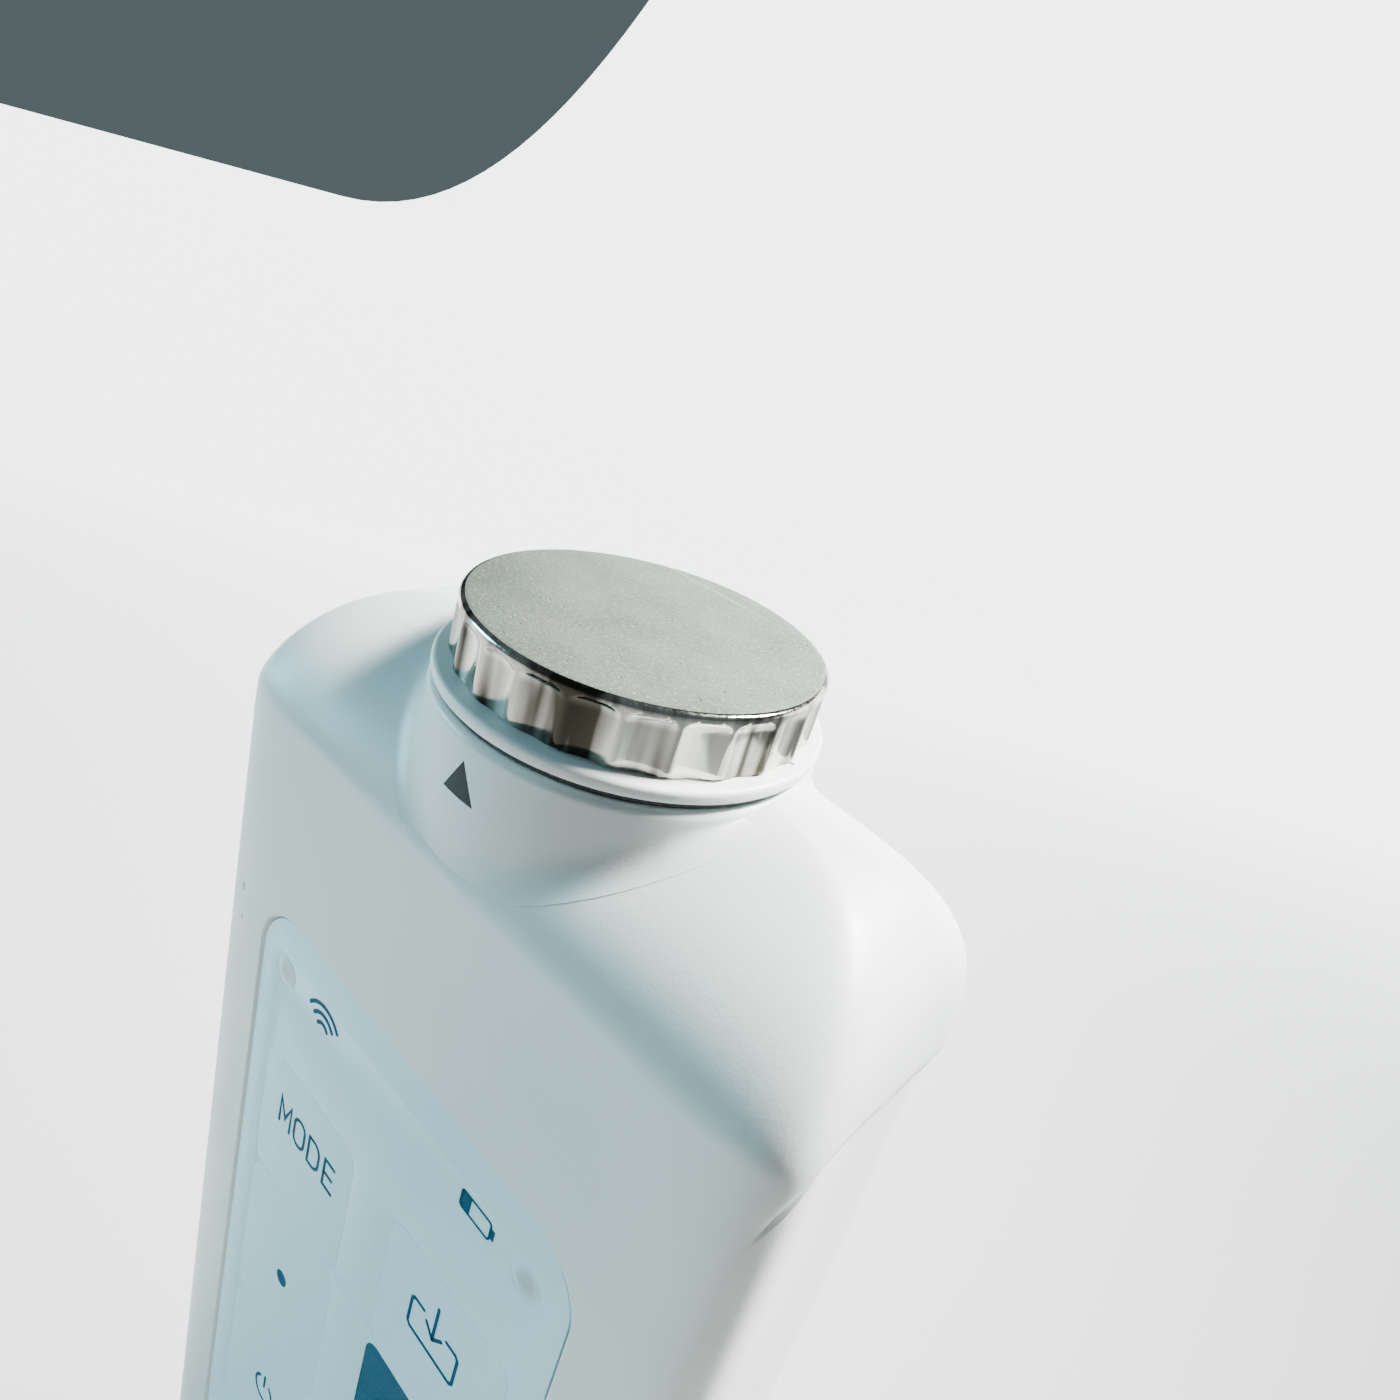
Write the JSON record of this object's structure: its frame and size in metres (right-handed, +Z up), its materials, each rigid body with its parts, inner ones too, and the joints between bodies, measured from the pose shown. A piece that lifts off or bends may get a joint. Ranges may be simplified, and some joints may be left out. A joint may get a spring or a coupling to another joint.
{
  "type": "intraoral xray unit",
  "caption": "Cordless hand-held intraoral x-ray unit: upright rounded casing, fluted screw cap over the top beam port, membrane keypad on the front.",
  "frame": {"origin": "centre of the base pad's underside, on the surface the unit stands on", "axes": "+Z up through the beam port; the keypad faces -Y; +X is to the right of someone facing the keypad"},
  "size_m": [0.0782, 0.0396, 0.205],
  "materials": {
    "casing_white": "fine satin moulded plastic",
    "grip_white": "fine spark-textured plastic",
    "collar_white": "fine satin moulded plastic",
    "flange_white": "satin plastic, slightly scuffed edge",
    "mark_grey": "printed dark grey",
    "cap_metal": "bead-blasted top, polished fluted side",
    "steel": "machined",
    "aluminium": "machined",
    "lead": null,
    "copper": null,
    "ferrite": "dull sintered",
    "tube_glass": "clear glass",
    "potting_resin": "cast resin",
    "board_green": "solder-masked board",
    "component_black": "moulded plastic",
    "contact_gold": "plated",
    "cell_wrap": "shrink film",
    "pad_rubber": "matte rubber",
    "seal_rubber": "matte rubber",
    "window_resin": "translucent resin",
    "light_lens": "translucent grey lens behind film",
    "keypad_film": "fine-grained printed film",
    "key_teal": "teal printed film"
  },
  "bodies": {
    "casing": {"front_shell": "casing_white", "rear_shell": "casing_white", "side_grip_left": "grip_white", "side_grip_right": "grip_white", "base_cap": "casing_white", "base_pad": "pad_rubber", "base_screws": "steel", "case_screws": "steel", "battery_door": "casing_white", "door_screws": "steel", "port_collar": "collar_white", "alignment_mark": "mark_grey", "port_sleeve": "steel", "beam_window": "window_resin", "beam_filter": "aluminium", "collimator": "lead", "tube_housing": "aluminium", "lead_liner": "lead", "tube_envelope": "tube_glass", "tube_cathode": "steel", "tube_anode": "copper", "transformer_core": "ferrite", "transformer_coil": "copper", "multiplier_block": "potting_resin", "control_board": "board_green", "dome_switches": "steel", "status_leds": "window_resin", "wireless_module": "steel", "buzzer": "component_black", "keypad_film": "keypad_film", "light_window_left": "light_lens", "light_window_right": "light_lens", "battery_cells": "cell_wrap", "battery_cradle": "component_black", "battery_contacts": "contact_gold", "charge_contacts": "contact_gold"},
    "cap_plug": {"cap_flange": "flange_white", "cap_seal": "seal_rubber", "cap_shield": "lead"},
    "fluted_cap": {"port_cap": "cap_metal"},
    "mode_key_cap": {"mode_key": "keypad_film"},
    "save_key_cap": {"save_key": "keypad_film"},
    "dot_key_cap": {"dot_key": "keypad_film"},
    "expose_key_cap": {"expose_key": "key_teal"},
    "power_key_cap": {"power_key": "keypad_film"}
  },
  "joints": [
    {"name": "cap_lift", "type": "slide", "parent": "casing", "child": "cap_plug", "axis": [0, 0, 1], "range_m": [0, 0.0045]},
    {"name": "cap_turn", "type": "hinge", "parent": "cap_plug", "child": "fluted_cap", "pos_m": [0, 0, 0.2], "axis": [0, 0, 1], "range_deg": [0, 541]},
    {"name": "mode_press", "type": "slide", "parent": "casing", "child": "mode_key_cap", "axis": [0, 1, 0], "range_m": [0, 0.0004], "stiffness_N_per_m": 3000},
    {"name": "save_press", "type": "slide", "parent": "casing", "child": "save_key_cap", "axis": [0, 1, 0], "range_m": [0, 0.0004], "stiffness_N_per_m": 3000},
    {"name": "dot_press", "type": "slide", "parent": "casing", "child": "dot_key_cap", "axis": [0, 1, 0], "range_m": [0, 0.0004], "stiffness_N_per_m": 3000},
    {"name": "expose_press", "type": "slide", "parent": "casing", "child": "expose_key_cap", "axis": [0, 1, 0], "range_m": [0, 0.0004], "stiffness_N_per_m": 3000},
    {"name": "power_press", "type": "slide", "parent": "casing", "child": "power_key_cap", "axis": [0, 1, 0], "range_m": [0, 0.0004], "stiffness_N_per_m": 3000}
  ],
  "couplings": [
    {"joint": "cap_turn", "follows": "cap_lift", "rad_per_m": 2094.4}
  ]
}
